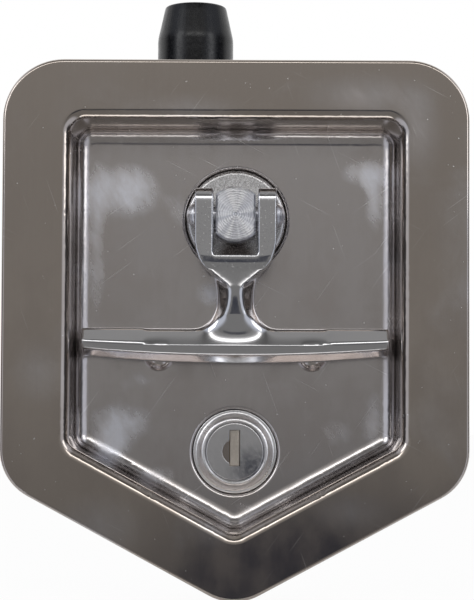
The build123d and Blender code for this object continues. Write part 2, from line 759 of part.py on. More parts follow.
keyway_z = lock_z + keyway_rise
wafer_places = [plug_front + wafer_start + step * wafer_pitch for step in range(wafer_count)]
shutter_y = plug_front + shutter_sink + shutter_barrel
shutter_x = keyway_width / 2 - shutter_barrel - shutter_gap
shutter_half = keyway_height / 2 - shutter_gap
with BuildPart() as lock_plug:
    with BuildSketch(level(lock_z)):
        with BuildLine():
            FilletPolyline(
                (0, plug_front), (plug_face_radius, plug_front),
                (plug_face_radius, plug_shoulder), (plug_radius, plug_shoulder),
                (plug_radius, lock_cam_front), (0, lock_cam_front),
                radius=[0, 0.4, 0, 0, 0.4, 0], close=True,
            )
        make_face()
    revolve(axis=lock_axis)
    with BuildSketch(front(lock_cam_back - tail_short)):
        with Locations((0, lock_z)):
            Rectangle(tail_square, tail_square)
            Circle(tail_square / 2 * tail_corner, mode=Mode.INTERSECT)
    extrude(amount=lock_cam_back - tail_short - lock_cam_front)
    with BuildSketch(front(plug_front + keyway_length)):
        with Locations((0, keyway_z)):
            Rectangle(keyway_width, keyway_height)
    extrude(amount=keyway_length, mode=Mode.SUBTRACT)
    with BuildSketch(front(plug_front + thumb_depth)):
        with Locations((0, lock_z)):
            Circle(thumb_radius)
        with Locations((thumb_radius, lock_z)):
            Rectangle(2 * thumb_radius, 2 * thumb_radius, mode=Mode.SUBTRACT)
    extrude(amount=thumb_depth, mode=Mode.SUBTRACT)
    for y in wafer_places:
        with BuildSketch(front(y + wafer_thickness + wafer_gap)):
            with Locations((0, lock_z)):
                Rectangle(wafer_width + 2 * wafer_gap, 2 * plug_radius)
        extrude(amount=wafer_thickness + 2 * wafer_gap, mode=Mode.SUBTRACT)
    # Holes for the shutter's trunnions, above and below the keyway.
    with BuildSketch(level(keyway_z - shutter_half - trunnion_length)):
        with Locations((shutter_x, shutter_y)):
            Circle(trunnion_radius + running)
    extrude(amount=2 * (shutter_half + trunnion_length) + running, mode=Mode.SUBTRACT)
    with BuildSketch(front(lock_cam_back)):
        with Locations((0, lock_z)):
            Circle(cam_screw_radius)
    extrude(amount=cam_screw_depth, mode=Mode.SUBTRACT)
lock_plug.part.label = "lock_plug"

with BuildPart() as wafers:
    for y in wafer_places:
        with BuildSketch(front(y + wafer_thickness)):
            with Locations((0, lock_z)):
                RectangleRounded(wafer_width, wafer_height, wafer_width / 5)
                Rectangle(wafer_window_width, wafer_window_height, mode=Mode.SUBTRACT)
        extrude(amount=wafer_thickness)
wafers.part.label = "wafers"

with BuildPart() as dust_shutter:
    with BuildSketch(level(keyway_z - shutter_half)):
        with Locations((shutter_x, shutter_y)):
            Circle(shutter_barrel)
        with Locations((shutter_x - shutter_reach / 2, shutter_y - shutter_barrel + shutter_thickness / 2)):
            Rectangle(shutter_reach, shutter_thickness)
    extrude(amount=2 * shutter_half)
    with BuildSketch(level(keyway_z - shutter_half - trunnion_length + running)):
        with Locations((shutter_x, shutter_y)):
            Circle(trunnion_radius)
    extrude(amount=2 * (shutter_half + trunnion_length - running))
dust_shutter.part.label = "dust_shutter"

with BuildPart() as lock_cam:
    with BuildSketch(front(lock_cam_back)):
        with Locations((0, lock_z)):
            Circle(lock_cam_boss)
        with BuildLine():
            FilletPolyline(
                (0, lock_z + lock_cam_width / 2), (lock_cam_reach, lock_z + lock_cam_tip_width / 2),
                (lock_cam_reach, lock_z - lock_cam_tip_width / 2), (0, lock_z - lock_cam_width / 2),
                radius=[0, 3, 3, 0], close=True,
            )
        make_face()
        with Locations((0, lock_z)):
            Rectangle(tail_square + 2 * key_gap, tail_square + 2 * key_gap, mode=Mode.SUBTRACT)
    extrude(amount=lock_cam_thickness)
lock_cam.part.label = "lock_cam"

lock_washer_back = lock_cam_back + cam_lock_washer
with BuildPart() as lock_cam_washer:
    add(washer(lock_washer_back, cam_lock_washer, cam_lock_washer_radius, cam_screw_radius, lock_z))
lock_cam_washer.part.label = "lock_cam_washer"

screw_back = lock_washer_back + cam_screw_head
with BuildPart() as lock_cam_screw:
    with BuildSketch(front(screw_back)):
        with Locations((0, lock_z)):
            Circle(cam_screw_head_radius)
    extrude(amount=cam_screw_head)
    fillet(lock_cam_screw.faces().sort_by(Axis.Y)[-1].edges(), radius=cam_screw_head / 3)
    with BuildSketch(front(lock_washer_back)):
        with Locations((0, lock_z)):
            Circle(cam_screw_radius)
    extrude(amount=cam_lock_washer + cam_screw_depth - cam_screw_end_gap)
    with BuildSketch(front(screw_back)):
        with Locations((0, lock_z)):
            RegularPolygon(cam_screw_socket / 2, 6, major_radius=False)
    extrude(amount=cam_screw_socket_depth, mode=Mode.SUBTRACT)
lock_cam_screw.part.label = "lock_cam_screw"

for piece in (
    pan, mounting_studs, hub_spindle, hinge_pin, t_handle, hub_pad, hub_bush, disc_spring,
    stop_washer, cam_plate, cam_washer, cam_nut, cam_roller, roller_axle, roller_washer,
    lock_body, lock_gasket, lock_nut, lock_plug, wafers, dust_shutter, lock_cam,
    lock_cam_washer, lock_cam_screw,
):
    export_step(piece.part, f"parts/{piece.part.label}.step")
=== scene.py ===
import bmesh
import bpy
import math
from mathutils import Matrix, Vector


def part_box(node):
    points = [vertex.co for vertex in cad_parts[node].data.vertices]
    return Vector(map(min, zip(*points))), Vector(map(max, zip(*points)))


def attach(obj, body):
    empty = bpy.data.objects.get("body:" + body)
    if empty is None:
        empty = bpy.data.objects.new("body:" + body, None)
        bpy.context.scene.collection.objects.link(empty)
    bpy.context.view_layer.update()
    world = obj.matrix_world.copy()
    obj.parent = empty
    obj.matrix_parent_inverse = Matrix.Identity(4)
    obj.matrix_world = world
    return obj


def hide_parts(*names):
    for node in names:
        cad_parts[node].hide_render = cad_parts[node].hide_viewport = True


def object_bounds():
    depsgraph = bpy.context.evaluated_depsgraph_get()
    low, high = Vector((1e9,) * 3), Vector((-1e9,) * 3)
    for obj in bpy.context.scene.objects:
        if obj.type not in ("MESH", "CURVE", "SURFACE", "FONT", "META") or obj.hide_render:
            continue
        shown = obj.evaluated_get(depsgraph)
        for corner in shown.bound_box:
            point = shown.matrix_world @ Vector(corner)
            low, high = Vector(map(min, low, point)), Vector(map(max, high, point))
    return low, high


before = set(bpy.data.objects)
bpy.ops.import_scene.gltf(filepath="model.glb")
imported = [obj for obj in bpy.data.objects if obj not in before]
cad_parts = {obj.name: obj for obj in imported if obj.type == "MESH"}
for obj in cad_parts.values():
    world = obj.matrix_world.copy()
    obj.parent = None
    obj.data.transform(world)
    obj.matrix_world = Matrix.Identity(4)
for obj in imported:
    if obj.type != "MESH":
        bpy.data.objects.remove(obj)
cadLow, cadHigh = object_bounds()
mm = 0.001
print("frame loaded")

# Places read from the frame
panLow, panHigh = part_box("pan")
discLow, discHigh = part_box("hub_spindle")
lockLow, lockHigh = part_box("lock_body")
hubZ = (discLow.z + discHigh.z) / 2
lockZ = (lockLow.z + lockHigh.z) / 2
hubCentre = Vector((0, 0, hubZ))
pinLow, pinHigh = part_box("hinge_pin")
pinZ = (pinLow.z + pinHigh.z) / 2

# Camera, room and lamps

cameraView = {"distance": 490 * mm, "right": 3 * mm, "below": 19.7 * mm, "lens": 114.5, "roll": 0.3,
              "shiftX": 0.0033, "shiftY": 0.0488}
# Tones of the room in front of the latch, by height: -1 straight down, 0 level, 1 straight up.
room = {"behind": 1.0, "behindStart": -0.05, "behindFull": 0.4,
        "tones": [(-1.0, 2.0), (-0.965, 2.0), (-0.935, 0.24), (-0.6, 0.24), (-0.24, 0.24),
                  (-0.07, 0.21), (0.03, 0.31), (0.12, 0.31), (0.22, 0.36), (0.30, 0.5),
                  (0.38, 1.15), (0.55, 1.15), (0.62, 0.22), (0.78, 0.12), (0.9, 0.35)],
        "sideTone": (0.66, 0.69, 0.77), "sideStart": 0.36, "sideFull": 0.62,
        "darkTone": (0.05, 0.05, 0.055), "darkStart": 0.84, "darkFull": 0.95,
        "shadeColour": (0.018, 0.022, 0.042),
        "shades": [{"at": (0.045, -0.095), "size": (0.1, 0.045), "strength": 0.85},
                   {"at": (-0.02, -0.2), "size": (0.2, 0.075), "strength": 0.8}]}
lamps = [
    {"name": "softboxLeft", "at": (-0.62, -0.5, 0.35), "size": (0.3, 0.4), "brightness": 2.2},
    {"name": "softboxRight", "at": (0.62, -0.5, 0.3), "size": (0.26, 0.4), "brightness": 2.0},
    {"name": "stripTop", "at": (0.0, -0.8, 0.45), "size": (0.9, 0.12), "brightness": 2.4},
]


def makeCamera():
    middle = Vector((0, panLow.y, (panLow.z + panHigh.z) / 2))
    data = bpy.data.cameras.new("camera")
    camera = bpy.data.objects.new("camera", data)
    bpy.context.scene.collection.objects.link(camera)
    camera.location = middle + Vector((cameraView["right"], -cameraView["distance"], -cameraView["below"]))
    camera.rotation_euler = (middle - camera.location).to_track_quat("-Z", "Y").to_euler()
    camera.rotation_euler.rotate_axis("Z", math.radians(cameraView["roll"]))
    data.lens = cameraView["lens"]
    data.shift_x = cameraView["shiftX"]
    data.shift_y = cameraView["shiftY"]
    data.clip_start = 0.01
    bpy.context.scene.camera = camera


def addNode(tree, kind, **values):
    node = tree.nodes.new(kind)
    for key, value in values.items():
        setattr(node, key, value)
    return node


def spread(tree, value, low, high, newLow=0.0, newHigh=1.0):
    node = addNode(tree, "ShaderNodeMapRange", interpolation_type="SMOOTHSTEP")
    node.inputs["From Min"].default_value = low
    node.inputs["From Max"].default_value = high
    node.inputs["To Min"].default_value = newLow
    node.inputs["To Max"].default_value = newHigh
    tree.links.new(value, node.inputs["Value"])
    return node.outputs[0]


def combine(tree, first, second, operation="ADD"):
    node = addNode(tree, "ShaderNodeMath", operation=operation)
    for value, socket in zip((first, second), node.inputs):
        if isinstance(value, (int, float)):
            socket.default_value = value
        else:
            tree.links.new(value, socket)
    return node.outputs[0]


def blendColours(tree, share, first, second):
    node = addNode(tree, "ShaderNodeMix", data_type="RGBA")
    for value, socket in ((first, node.inputs[6]), (second, node.inputs[7])):
        if isinstance(value, tuple):
            socket.default_value = (*value, 1)
        else:
            tree.links.new(value, socket)
    tree.links.new(share, node.inputs[0])
    return node.outputs[2]


def ovalShade(tree, parts, shade):
    # 1 inside a soft oval of directions, 0 outside it.
    squares = []
    for axis, middle, half in zip("XZ", shade["at"], shade["size"]):
        away = combine(tree, parts.outputs[axis], middle, "SUBTRACT")
        squares.append(combine(tree, combine(tree, away, half, "DIVIDE"), 2.0, "POWER"))
    reach = combine(tree, *squares)
    return spread(tree, reach, 0.4, 1.5, shade["strength"], 0.0)


def makeRoom():
    world = bpy.data.worlds.new("studio")
    world.use_nodes = True
    tree = world.node_tree
    tree.nodes.clear()
    out = addNode(tree, "ShaderNodeOutputWorld")
    coords = addNode(tree, "ShaderNodeTexCoord")
    parts = addNode(tree, "ShaderNodeSeparateXYZ")
    tree.links.new(coords.outputs["Generated"], parts.inputs[0])
    height = addNode(tree, "ShaderNodeMapRange")
    height.inputs["From Min"].default_value = -1
    height.inputs["From Max"].default_value = 1
    tree.links.new(parts.outputs["Z"], height.inputs["Value"])
    tones = addNode(tree, "ShaderNodeValToRGB")
    for place, tone in room["tones"]:
        stop = tones.color_ramp.elements.new((place + 1) / 2)
        stop.color = (tone, tone * 0.985, tone * 0.97, 1)
    tones.color_ramp.elements.remove(tones.color_ramp.elements[0])
    tones.color_ramp.elements.remove(tones.color_ramp.elements[-1])
    tree.links.new(height.outputs[0], tones.inputs[0])
    front = tones.outputs[0]
    aside = combine(tree, parts.outputs["X"], 0.0, "ABSOLUTE")
    side = spread(tree, aside, room["sideStart"], room["sideFull"])
    front = blendColours(tree, side, front, room["sideTone"])
    edge = spread(tree, aside, room["darkStart"], room["darkFull"])
    front = blendColours(tree, edge, front, room["darkTone"])
    for shade in room["shades"]:
        front = blendColours(tree, ovalShade(tree, parts, shade), front, room["shadeColour"])
    # Glossy rays are left out here, so that metal mirrors the darker room in front of it.
    ray = addNode(tree, "ShaderNodeLightPath")
    white = combine(tree, ray.outputs["Is Camera Ray"], ray.outputs["Is Transmission Ray"], "MAXIMUM")
    behind = spread(tree, parts.outputs["Y"], room["behindStart"], room["behindFull"])
    share = combine(tree, white, behind, "MAXIMUM")
    sky = addNode(tree, "ShaderNodeBackground")
    tree.links.new(blendColours(tree, share, front, (room["behind"],) * 3), sky.inputs["Color"])
    tree.links.new(sky.outputs[0], out.inputs["Surface"])
    bpy.context.scene.world = world


def makeLamps():
    for lamp in lamps:
        data = bpy.data.lights.new(lamp["name"], "AREA")
        data.shape = "RECTANGLE"
        data.size, data.size_y = lamp["size"]
        data.energy = lamp["brightness"] * math.pi * data.size * data.size_y
        holder = bpy.data.objects.new(lamp["name"], data)
        bpy.context.scene.collection.objects.link(holder)
        holder.location = lamp["at"]
        aim = Vector((0, 0, 0)) - holder.location
        holder.rotation_euler = aim.to_track_quat("-Z", "Y").to_euler()


paperFloor = {"half": 1.5, "inFront": 5 * mm, "below": 0.5 * mm, "tone": 0.93, "glow": 0.94}


def makeFloor():
    bm = bmesh.new()
    bmesh.ops.create_grid(bm, x_segments=1, y_segments=1, size=paperFloor["half"])
    middle = (0, cadLow.y + paperFloor["half"] - paperFloor["inFront"], cadLow.z - paperFloor["below"])
    bmesh.ops.translate(bm, verts=bm.verts, vec=middle)
    mesh = bpy.data.meshes.new("floor")
    bm.to_mesh(mesh)
    bm.free()
    floor = bpy.data.objects.new("floor", mesh)
    bpy.context.scene.collection.objects.link(floor)
    paper = bpy.data.materials.new("floorPaper")
    paper.use_nodes = True
    tree = paper.node_tree
    tree.nodes.clear()
    out = addNode(tree, "ShaderNodeOutputMaterial")
    ray = addNode(tree, "ShaderNodeLightPath")
    sheet = addNode(tree, "ShaderNodeBsdfDiffuse")
    sheet.inputs["Color"].default_value = (paperFloor["tone"],) * 3 + (1,)
    glow = addNode(tree, "ShaderNodeEmission")
    glow.inputs["Color"].default_value = (1, 1, 1, 1)
    mix = addNode(tree, "ShaderNodeMixShader")
    share = combine(tree, ray.outputs["Is Camera Ray"], paperFloor["glow"], "MULTIPLY")
    tree.links.new(share, mix.inputs[0])
    tree.links.new(sheet.outputs[0], mix.inputs[1])
    tree.links.new(glow.outputs[0], mix.inputs[2])
    tree.links.new(mix.outputs[0], out.inputs["Surface"])
    mesh.materials.append(paper)


makeCamera()
makeRoom()
makeLamps()
makeFloor()
bpy.context.scene.view_settings.view_transform = "Standard"
print("camera, room and floor ready")

# Materials


def startMaterial(name, colour, metallic, roughness):
    material = bpy.data.materials.new(name)
    material.use_nodes = True
    tree = material.node_tree
    tree.nodes.clear()
    out = addNode(tree, "ShaderNodeOutputMaterial")
    shader = addNode(tree, "ShaderNodeBsdfPrincipled")
    shader.inputs["Base Color"].default_value = (*colour, 1)
    shader.inputs["Metallic"].default_value = metallic
    shader.inputs["Roughness"].default_value = roughness
    tree.links.new(shader.outputs[0], out.inputs["Surface"])
    coords = addNode(tree, "ShaderNodeTexCoord")
    return material, tree, shader, coords.outputs["Object"]


def placed(tree, vector, move=(0, 0, 0), turn=(0, 0, 0), scale=(1, 1, 1)):
    mapping = addNode(tree, "ShaderNodeMapping")
    mapping.inputs["Location"].default_value = move
    mapping.inputs["Rotation"].default_value = turn
    mapping.inputs["Scale"].default_value = scale
    tree.links.new(vector, mapping.inputs["Vector"])
    return mapping.outputs[0]


def noise(tree, vector, scale, detail=3.0, roughness=0.5, distortion=0.0):
    node = addNode(tree, "ShaderNodeTexNoise")
    node.inputs["Scale"].default_value = scale
    node.inputs["Detail"].default_value = detail
    node.inputs["Roughness"].default_value = roughness
    node.inputs["Distortion"].default_value = distortion
    tree.links.new(vector, node.inputs["Vector"])
    return node.outputs["Fac"]


def addBump(tree, shader, layers):
    # Layers are (height, strength, depth in millimetres), the coarsest first.
    below = None
    for height, strength, depth in layers:
        bump = addNode(tree, "ShaderNodeBump")
        bump.inputs["Strength"].default_value = strength
        bump.inputs["Distance"].default_value = depth * mm
        tree.links.new(height, bump.inputs["Height"])
        if below:
            tree.links.new(below, bump.inputs["Normal"])
        below = bump.outputs[0]
    tree.links.new(below, shader.inputs["Normal"])


def scratches(tree, vector, turns, count, fineness, length):
    # Fine straight marks: noise drawn out along a line, cut off high, in a few directions.
    total = None
    for step, turn in enumerate(turns):
        lines = placed(tree, placed(tree, vector, turn=(0, turn, 0)), move=(0.37 * step, 0, 0.21 * step),
                       scale=(fineness, 12, length))
        marks = spread(tree, noise(tree, lines, 1.0, 1.0), count, count + 0.05)
        total = marks if total is None else combine(tree, total, marks, "MAXIMUM")
    return total


panFinish = {"colour": (0.50, 0.445, 0.40), "hazeColour": (0.82, 0.835, 0.90),
             "brushColour": (0.30, 0.27, 0.25), "cloudColour": (0.40, 0.35, 0.315),
             "wornColour": (0.95, 0.95, 0.95), "smooth": 0.10, "hazy": 0.40, "floorHaze": 0.34,
             "scratchTurns": (0.35, -0.62, 1.1, 2.2),
             # Cloudy places: centre and half size in millimetres, then strength.
             "patches": [((-29, 16, 27.8), (12, 9, 10), 1.0), ((33.7, 16, 32.9), (8, 9, 5), 0.8),
                         ((37, 16, 25), (4, 9, 12), 0.8), ((-15, 16, 22), (5, 9, 8), 0.55),
                         ((-6.8, 16, 0.3), (6, 9, 5), 0.8), ((12, 16, 5), (7, 9, 6), 0.3),
                         ((-37.3, 15, 13.7), (3.5, 9, 30), 0.7), ((-30.7, 16, -34.7), (10, 9, 8), 0.9),
                         ((-33, 15, -41), (6, 9, 6), 0.8), ((-21.5, 15, -48), (9, 9, 4), 0.6),
                         ((27, 16, -36.5), (9, 9, 7), 0.55), ((37, 15, -33), (4, 9, 12), 0.7),
                         ((12, 16, -24), (11, 9, 4), 0.4), ((-26.5, 16, -23), (9, 9, 5), 0.4),
                         ((2, 16, -56.6), (6, 9, 3), 0.4), ((-13, -1, 47), (14, 4, 4), 0.25),
                         ((34, -1, 50.5), (16, 4, 6), 0.35), ((47, -1, 42), (6, 4, 12), 0.35),
                         ((-50, -1, -21), (7, 4, 8), 0.25), ((-35, -1, -61), (12, 4, 8), 0.3),
                         ((-6, -1, -61), (6, 4, 6), 0.2), ((30, -1, -56.6), (10, 4, 5), 0.25)]}


def depthMask(tree, vector, near, far):
    # 1 in front of the depth called near, 0 behind far, in metres along Y.
    parts = addNode(tree, "ShaderNodeSeparateXYZ")
    tree.links.new(vector, parts.inputs[0])
    return spread(tree, parts.outputs["Y"], near, far, 1.0, 0.0)


def patch(tree, vector, centre, size):
    # A soft oval spot at a place on the piece, in millimetres.
    spot = placed(tree, vector, move=tuple(-c / r for c, r in zip(centre, size)),
                  scale=tuple(1000 / r for r in size))
    length = addNode(tree, "ShaderNodeVectorMath", operation="LENGTH")
    tree.links.new(spot, length.inputs[0])
    return spread(tree, length.outputs["Value"], 0.0, 1.35, 1.0, 0.0)


def stainlessMaterial():
    material, tree, shader, at = startMaterial("stainlessPan", panFinish["colour"], 1.0, 0.2)
    cloudy = noise(tree, at, 26, 5.0, 0.6, 0.8)
    rubbed = noise(tree, placed(tree, placed(tree, at, turn=(0, 0.6, 0)), scale=(420, 420, 150)), 1.0, 7.0, 0.75)
    haze = spread(tree, cloudy, 0.52, 0.8, 0.0, 0.3)
    for centre, size, strength in panFinish["patches"]:
        haze = combine(tree, haze, combine(tree, patch(tree, at, centre, size), strength, "MULTIPLY"))
    haze = combine(tree, haze, spread(tree, rubbed, 0.2, 0.8, 0.72, 1.2), "MULTIPLY")
    haze = combine(tree, haze, 1.0, "MINIMUM")
    onFloor = combine(tree, 1.0, depthMask(tree, at, 12.5 * mm, 15.5 * mm), "SUBTRACT")
    onFlange = depthMask(tree, at, -1.2 * mm, -0.6 * mm)
    haze = combine(tree, haze, combine(tree, onFloor, panFinish["floorHaze"], "MULTIPLY"), "MAXIMUM")
    clouds = noise(tree, placed(tree, at, scale=(90, 90, 60)), 1.0, 5.0, 0.6)
    brushed = noise(tree, placed(tree, at, scale=(2600, 900, 55)), 1.0, 3.0)
    marks = scratches(tree, at, panFinish["scratchTurns"], 0.745, 3000, 34)
    specks = spread(tree, noise(tree, at, 900, 2.0, 0.5), 0.75, 0.79)
    tint = blendColours(tree, haze, panFinish["colour"], panFinish["hazeColour"])
    tint = blendColours(tree, spread(tree, brushed, 0.2, 0.8, 0.0, 0.05), tint, panFinish["brushColour"])
    tint = blendColours(tree, spread(tree, clouds, 0.35, 0.7, 0.0, 0.34), tint, panFinish["cloudColour"])
    worn = combine(tree, combine(tree, marks, 0.35, "MULTIPLY"), combine(tree, specks, 0.8, "MULTIPLY"),
                   "MAXIMUM")
    tint = blendColours(tree, worn, tint, panFinish["wornColour"])
    tree.links.new(tint, shader.inputs["Base Color"])
    rough = combine(tree, spread(tree, haze, 0, 1, panFinish["smooth"], panFinish["hazy"]),
                    spread(tree, clouds, 0.3, 0.7, -0.03, 0.05))
    rough = combine(tree, rough, combine(tree, worn, 0.25, "MULTIPLY"))
    tree.links.new(rough, shader.inputs["Roughness"])
    waves = noise(tree, placed(tree, at, scale=(38, 38, 26)), 1.0, 1.5)
    deep = combine(tree, 1.0, depthMask(tree, at, 16 * mm, 16.4 * mm), "SUBTRACT")
    grain = combine(tree, brushed, combine(tree, deep, onFlange, "MAXIMUM"), "MULTIPLY")
    addBump(tree, shader, [(waves, 0.045, 0.5), (grain, 0.1, 0.006)])
    return material


chromeFinish = {"dullColour": (0.36, 0.36, 0.38), "brightColour": (0.95, 0.95, 0.96), "dull": 0.45}


def chromeMaterial(name, colour, rough, swell, speckled=None):
    # speckled is the depth range in front of which the plating is pitted.
    material, tree, shader, at = startMaterial(name, colour, 1.0, rough)
    pits = noise(tree, at, 1900, 3.0, 0.6)
    # Here the film noise only varies the roughness of the plating.
    filmAndPaintedReflection = noise(tree, at, 130, 4.0)
    dull = spread(tree, pits, 0.55, 0.7, 0.0, chromeFinish["dull"])
    if speckled:
        mask = depthMask(tree, at, *speckled)
        dull = combine(tree, dull, combine(tree, combine(tree, mask, 0.9, "MULTIPLY"), 0.1), "MULTIPLY")
        bright = combine(tree, spread(tree, noise(tree, at, 1500, 2.0), 0.62, 0.7), mask, "MULTIPLY")
    tint = blendColours(tree, dull, colour, chromeFinish["dullColour"])
    rougher = spread(tree, filmAndPaintedReflection, 0.35, 0.75, rough, rough + 0.08)
    if speckled:
        tint = blendColours(tree, bright, tint, chromeFinish["brightColour"])
        rougher = combine(tree, rougher, combine(tree, combine(tree, mask, dull, "MULTIPLY"), 0.3, "MULTIPLY"))
    tree.links.new(tint, shader.inputs["Base Color"])
    tree.links.new(rougher, shader.inputs["Roughness"])
    ripple = noise(tree, at, 75, 1.5)
    if speckled:
        pits = combine(tree, pits, mask, "MULTIPLY")
    addBump(tree, shader, [(ripple, swell, 0.4), (pits, 0.25, 0.006)])
    return material


spindle = {"pitch": 0.62, "ringDepth": 0.02, "stemFront": 6.0, "lines": 0.75, "discRough": 0.24,
           "sheen": 0.85, "stemColour": (0.66, 0.67, 0.72), "paintedSheenColour": (0.97, 0.975, 1.0),
           "lineColour": (0.40, 0.40, 0.43), "speckColour": (0.90, 0.90, 0.93),
           "stemShadow": ((0, 14, -9.0), (6.6, 7, 4.2)), "stemShadowColour": (0.07, 0.052, 0.045)}


def turnedMaterial(name, colour, rough, centre):
    # Concentric tool marks round the hub axis, strong on the stem's face and faint on the disc.
    material, tree, shader, at = startMaterial(name, colour, 1.0, rough)
    flat = placed(tree, at, move=(-centre.x, 0, -centre.z), scale=(1, 0, 1))
    radius = addNode(tree, "ShaderNodeVectorMath", operation="LENGTH")
    tree.links.new(flat, radius.inputs[0])
    wander = noise(tree, at, 900, 4.0)
    rounds = combine(tree, radius.outputs["Value"], 2 * math.pi / (spindle["pitch"] * mm), "MULTIPLY")
    phase = combine(tree, rounds, combine(tree, wander, 9.0, "MULTIPLY"))
    rings = combine(tree, phase, 0.0, "SINE")
    stem = depthMask(tree, at, spindle["stemFront"] * mm - 0.5 * mm, spindle["stemFront"] * mm)
    wobble = noise(tree, at, 1500, 2.0)
    tint = blendColours(tree, stem, colour, spindle["stemColour"])
    # Painted sheen: lighter spokes fanning out from the axis on the stem's face.
    ray = addNode(tree, "ShaderNodeVectorMath", operation="NORMALIZE")
    tree.links.new(flat, ray.inputs[0])
    paintedSheen = spread(tree, noise(tree, ray.outputs[0], 2.3, 3.0), 0.38, 0.62)
    tint = blendColours(tree, combine(tree, paintedSheen, stem, "MULTIPLY"), tint, spindle["paintedSheenColour"])
    lines = combine(tree, spread(tree, rings, -0.1, 0.95, 0.0, spindle["lines"]), stem, "MULTIPLY")
    lines = combine(tree, lines, spread(tree, noise(tree, at, 420, 3.0), 0.35, 0.6, 0.35, 1.0), "MULTIPLY")
    tint = blendColours(tree, lines, tint, spindle["lineColour"])
    tint = blendColours(tree, spread(tree, wobble, 0.52, 0.72, 0.0, 0.22), tint, spindle["speckColour"])
    # Painted shadow: a dark patch on the disc just below the stem.
    spot, size = spindle["stemShadow"]
    stemShadow = patch(tree, at, (spot[0], spot[1], spot[2] + centre.z / mm), size)
    tint = blendColours(tree, spread(tree, stemShadow, 0.1, 0.7, 0.0, 0.85), tint, spindle["stemShadowColour"])
    tree.links.new(tint, shader.inputs["Base Color"])
    uneven = spread(tree, wobble, 0.2, 0.8, -0.06, 0.1)
    finish = spread(tree, stem, 0, 1, spindle["discRough"], rough)
    tree.links.new(combine(tree, finish, uneven), shader.inputs["Roughness"])
    # The tool marks run round the axis, so the sheen fans out from it.
    outward = addNode(tree, "ShaderNodeVectorTransform", vector_type="VECTOR", convert_from="OBJECT",
                      convert_to="WORLD")
    tree.links.new(flat, outward.inputs[0])
    tree.links.new(outward.outputs[0], shader.inputs["Tangent"])
    shader.inputs["Anisotropic"].default_value = spindle["sheen"]
    grooves = combine(tree, rings, combine(tree, combine(tree, stem, 0.85, "MULTIPLY"), 0.15), "MULTIPLY")
    rubbed = combine(tree, wobble, stem, "MULTIPLY")
    addBump(tree, shader, [(grooves, 0.6, spindle["ringDepth"]), (rubbed, 0.2, 0.01)])
    return material


plugFinish = {"colour": (0.74, 0.735, 0.745), "groundColour": (0.9, 0.9, 0.92),
              "sunkShadeColour": (0.25, 0.19, 0.145), "paintedReflectionColour": (0.10, 0.11, 0.15),
              "filmAndPaintedReflection": ((4.5, 0, -4), (6, 20, 5.5))}


def plugMaterial():
    # Fine-ground plug face, with a painted dark reflection low on one side.
    material, tree, shader, at = startMaterial("plugMetal", plugFinish["colour"], 1.0, 0.2)
    grain = noise(tree, placed(tree, placed(tree, at, turn=(0, 0.5, 0)), scale=(4200, 600, 700)), 1.0, 3.0)
    # Painted dark reflection: a dark bluish patch low on one side of the plug face.
    centre, size = plugFinish["filmAndPaintedReflection"]
    filmAndPaintedReflection = patch(tree, at, (centre[0], centre[1] + lockLow.y / mm, centre[2] + lockZ / mm), size)
    filmAndPaintedReflection = combine(tree, filmAndPaintedReflection, spread(tree, noise(tree, at, 900, 4.0), 0.3, 0.65, 0.45, 0.85), "MULTIPLY")
    tint = blendColours(tree, filmAndPaintedReflection, plugFinish["colour"], plugFinish["paintedReflectionColour"])
    tint = blendColours(tree, spread(tree, grain, 0.4, 0.8, 0.0, 0.15), tint, plugFinish["groundColour"])
    # Painted shade: the keyway and hollow, more than about 1.5 mm behind the lock's front, are tinted dark
    # brown.
    sunkShade = combine(tree, 1.0, depthMask(tree, at, lockLow.y + 1.1 * mm, lockLow.y + 1.5 * mm), "SUBTRACT")
    tint = blendColours(tree, combine(tree, sunkShade, 0.85, "MULTIPLY"), tint, plugFinish["sunkShadeColour"])
    tree.links.new(tint, shader.inputs["Base Color"])
    tree.links.new(spread(tree, grain, 0.3, 0.7, 0.18, 0.26), shader.inputs["Roughness"])
    addBump(tree, shader, [(grain, 0.12, 0.004)])
    return material


def platedMaterial(name, colour, rough, grain=420):
    material, tree, shader, at = startMaterial(name, colour, 1.0, rough)
    patches = noise(tree, at, grain, 4.0, 0.6)
    stains = noise(tree, at, 70, 3.0)
    tint = blendColours(tree, spread(tree, stains, 0.4, 0.7), colour, tuple(c * 0.78 for c in colour))
    brighter = tuple(min(1, c * 1.2) for c in colour)
    tint = blendColours(tree, spread(tree, patches, 0.5, 0.75, 0, 0.4), tint, brighter)
    tree.links.new(tint, shader.inputs["Base Color"])
    tree.links.new(spread(tree, patches, 0.3, 0.7, rough - 0.08, rough + 0.1), shader.inputs["Roughness"])
    fine = noise(tree, at, 1900, 2.0)
    addBump(tree, shader, [(patches, 0.3, 0.02), (fine, 0.3, 0.008)])
    return material


def plasticMaterial(name, colour, rough, grain, depth, gloss=0.5):
    material, tree, shader, at = startMaterial(name, colour, 0.0, rough)
    texture = noise(tree, at, grain, 3.0, 0.6)
    scuffs = spread(tree, noise(tree, placed(tree, at, scale=(500, 500, 60)), 1.0, 3.0), 0.66, 0.8)
    paler = tuple(c * 1.5 + 0.01 for c in colour)
    tint = blendColours(tree, combine(tree, scuffs, 0.2, "MULTIPLY"), colour, paler)
    tree.links.new(tint, shader.inputs["Base Color"])
    tree.links.new(spread(tree, texture, 0.3, 0.7, rough - 0.06, rough + 0.08), shader.inputs["Roughness"])
    shader.inputs["Specular IOR Level"].default_value = gloss
    addBump(tree, shader, [(texture, 0.5, depth)])
    return material


